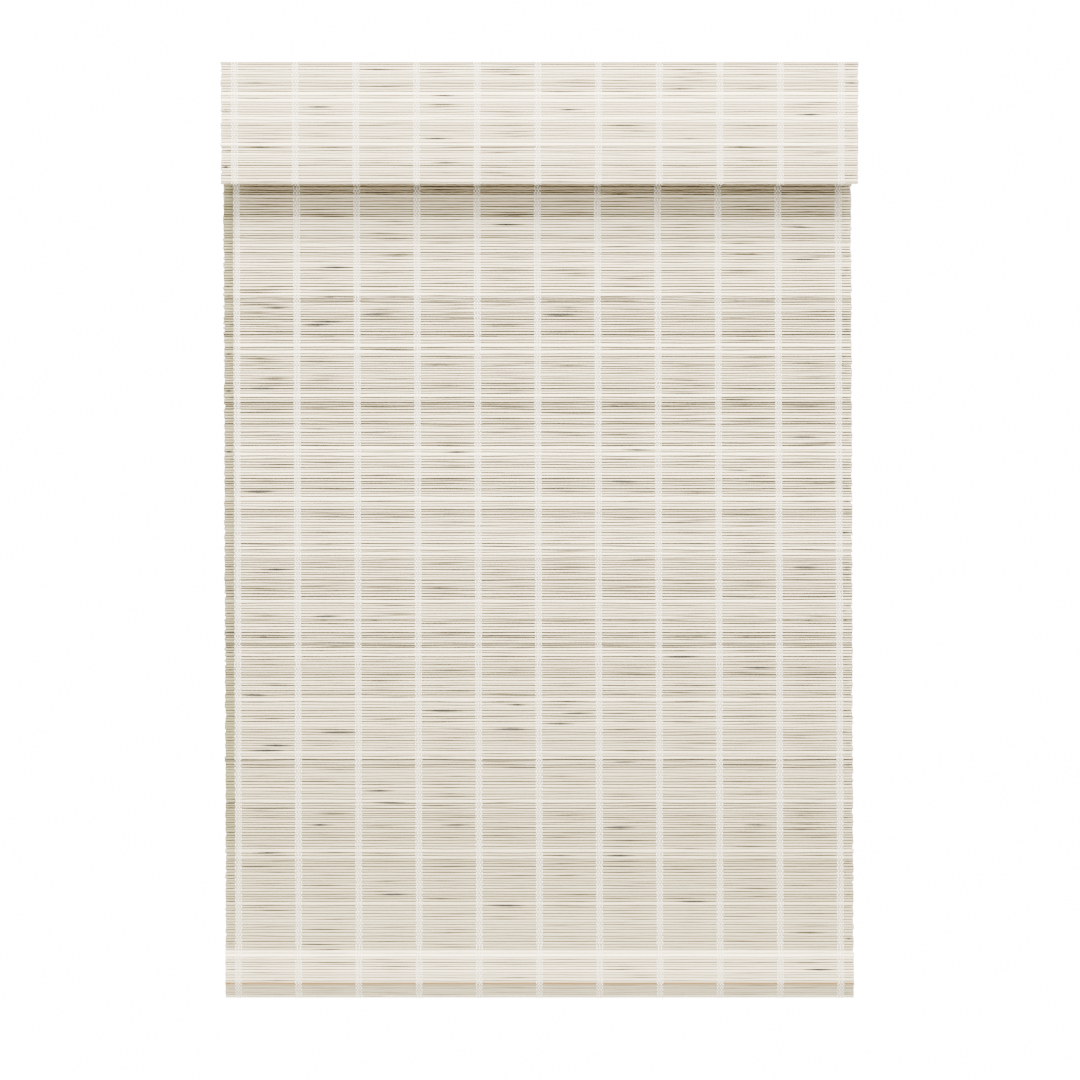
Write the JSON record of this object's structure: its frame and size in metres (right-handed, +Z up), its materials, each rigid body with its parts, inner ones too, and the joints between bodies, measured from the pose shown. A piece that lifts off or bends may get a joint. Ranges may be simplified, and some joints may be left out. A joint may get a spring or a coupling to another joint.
{
  "type": "roller blind",
  "caption": "Woven bamboo roller blind, fully lowered, with a matching valance, a sprung roller behind it and a weighted hem.",
  "frame": {"origin": "centre of the head board's back face, in the plane of the wall", "axes": "+X to the viewer's right along the roller, -Y out of the wall towards the room, +Z up; the blind hangs down in -Z"},
  "size_m": [0.793, 0.0811, 1.1662],
  "materials": {
    "whitewashed_bamboo": "matt, whitewashed split bamboo slats with white warp yarns",
    "painted_board": "white painted, satin",
    "plain_wood": "bare",
    "tape": "woven tape",
    "aluminium_tube": "extruded",
    "white_coated_steel": "white powder coat",
    "zinc_plated_steel": "bright zinc",
    "spring_steel": "oiled",
    "grey_plastic": "moulded",
    "white_plastic": "moulded"
  },
  "bodies": {
    "headrail": {"head_board": "painted_board", "hook_tape": "tape", "loop_tape": "tape", "valance_fabric": "whitewashed_bamboo", "valance_lath": "plain_wood", "valance_hem_tape": "tape", "bracket_left": "white_coated_steel", "bracket_right": "white_coated_steel", "bracket_screw_left_front": "zinc_plated_steel", "bracket_screw_left_rear": "zinc_plated_steel", "bracket_screw_right_front": "zinc_plated_steel", "bracket_screw_right_rear": "zinc_plated_steel", "wall_angle_left": "zinc_plated_steel", "wall_angle_right": "zinc_plated_steel", "angle_screw_left_front": "zinc_plated_steel", "angle_screw_left_rear": "zinc_plated_steel", "angle_screw_right_front": "zinc_plated_steel", "angle_screw_right_rear": "zinc_plated_steel", "spring_shaft": "zinc_plated_steel", "brake_drum": "zinc_plated_steel", "drum_pin": "zinc_plated_steel", "spring_collar": "white_plastic", "drive_spring": "spring_steel", "shaft_clip": "spring_steel", "fabric_panel": "whitewashed_bamboo"},
    "roller": {"fabric_roll": "whitewashed_bamboo", "roller_tube": "aluminium_tube", "fabric_spline": "white_plastic", "motor_end_cap": "grey_plastic", "brake_spring": "spring_steel", "spring_anchor": "grey_plastic", "idle_end_cap": "grey_plastic", "pin_retainer": "zinc_plated_steel", "idle_pin_spring": "spring_steel"},
    "idle_pin": {"idle_pin": "zinc_plated_steel"},
    "bottom_rail": {"bottom_bar": "plain_wood", "bar_end_cap_left": "white_plastic", "bar_end_cap_right": "white_plastic", "hem_wrap": "whitewashed_bamboo", "hem_tape": "tape"}
  },
  "joints": [
    {"name": "rail_lift", "type": "slide", "parent": "headrail", "child": "bottom_rail", "axis": [0, 0, 1], "range_m": [0, 1.004], "deforming": ["fabric_panel"]},
    {"name": "roller_spin", "type": "hinge", "parent": "headrail", "child": "roller", "pos_m": [0, -0.038, -0.048], "axis": [1, 0, 0], "range_deg": [0, 2070], "deforming": ["drive_spring"]},
    {"name": "idle_pin_press", "type": "slide", "parent": "roller", "child": "idle_pin", "axis": [-1, 0, 0], "range_m": [0, 0.004], "stiffness_N_per_m": 1200, "springref_m": -0.004, "deforming": ["idle_pin_spring"]}
  ],
  "couplings": [
    {"joint": "roller_spin", "follows": "rail_lift", "rad_per_m": 35.6}
  ]
}
